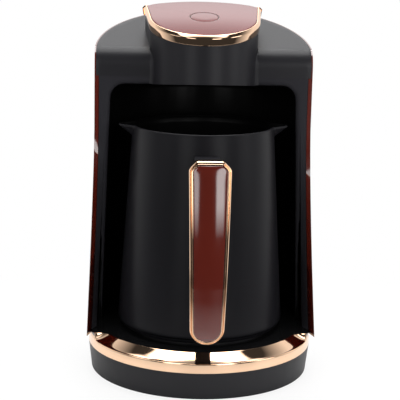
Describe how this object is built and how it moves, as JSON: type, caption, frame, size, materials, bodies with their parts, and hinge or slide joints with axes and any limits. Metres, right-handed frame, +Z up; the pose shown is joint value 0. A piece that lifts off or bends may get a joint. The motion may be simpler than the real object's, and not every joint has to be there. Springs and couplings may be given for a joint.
{
  "type": "electric turkish coffee maker",
  "caption": "Electric maker for turkish coffee: arched black bay in a glossy wine-red shell, lift-out pot with a bowed handle, heated round base, sloping cap with a push button.",
  "frame": {"origin": "on the table under the centre of the pot", "axes": "+Z up, front of the machine towards -Y, +X to the right seen from the front"},
  "size_m": [0.1412, 0.1698, 0.2265],
  "materials": {
    "black_matte": "fine satin grain",
    "black_gloss": "smooth gloss",
    "wine_gloss": "deep clear gloss",
    "rose_gold": "polished rose gold plating",
    "pot_black": "matte coating",
    "steel": "brushed",
    "heater_metal": "cast and lightly brushed",
    "element_metal": "dull sheath",
    "rubber_black": "matte",
    "board_green": "solder mask",
    "part_dark": "moulded",
    "part_light": "moulded",
    "coil_yellow": "taped",
    "relay_blue": "moulded",
    "wire_red": "sleeved",
    "clear_light": "frosted light guide",
    "window_dark": "dark filter"
  },
  "bodies": {
    "machine": {"base_cup": "black_matte", "bottom_cover": "black_matte", "foot_ring": "rubber_black", "bottom_screws": "steel", "trim_ring": "rose_gold", "tray_deck": "black_matte", "heating_plate": "heater_metal", "plate_screws": "steel", "heating_element": "element_metal", "thermostat": "part_light", "thermal_fuse": "part_light", "terminal_block": "part_light", "cord_inlet": "rubber_black", "outer_shell": "wine_gloss", "front_frame": "black_matte", "cavity_liner": "black_gloss", "sensor_window": "window_dark", "sensor_board": "board_green", "head_shell": "black_matte", "head_floor": "black_gloss", "cap_trim": "rose_gold", "cap_base": "part_dark", "cap_panel": "wine_gloss", "light_ring": "clear_light", "control_board": "board_green", "tact_switch": "part_dark", "power_board": "board_green", "transformer": "coil_yellow", "relay": "relay_blue", "buzzer": "part_dark", "wiring_harness": "wire_red"},
    "start_button_body": {"start_button": "wine_gloss", "switch_plunger": "part_light"},
    "pot": {"pot_shell": "pot_black", "pot_liner": "pot_black", "pot_base_disc": "steel", "handle_frame": "rose_gold", "handle_inlay": "wine_gloss", "handle_grip": "black_matte", "handle_bracket_top": "black_matte", "handle_bracket_low": "black_matte"}
  },
  "joints": [
    {"name": "pot_slide_out", "type": "slide", "parent": "machine", "child": "pot", "axis": [0, -1, 0], "range_m": [0, 0.16]},
    {"name": "start_button_press", "type": "slide", "parent": "machine", "child": "start_button_body", "axis": [0, 0.2385, -0.9711], "range_m": [0, 0.0012], "stiffness_N_per_m": 400, "springref_m": -0.0006}
  ]
}
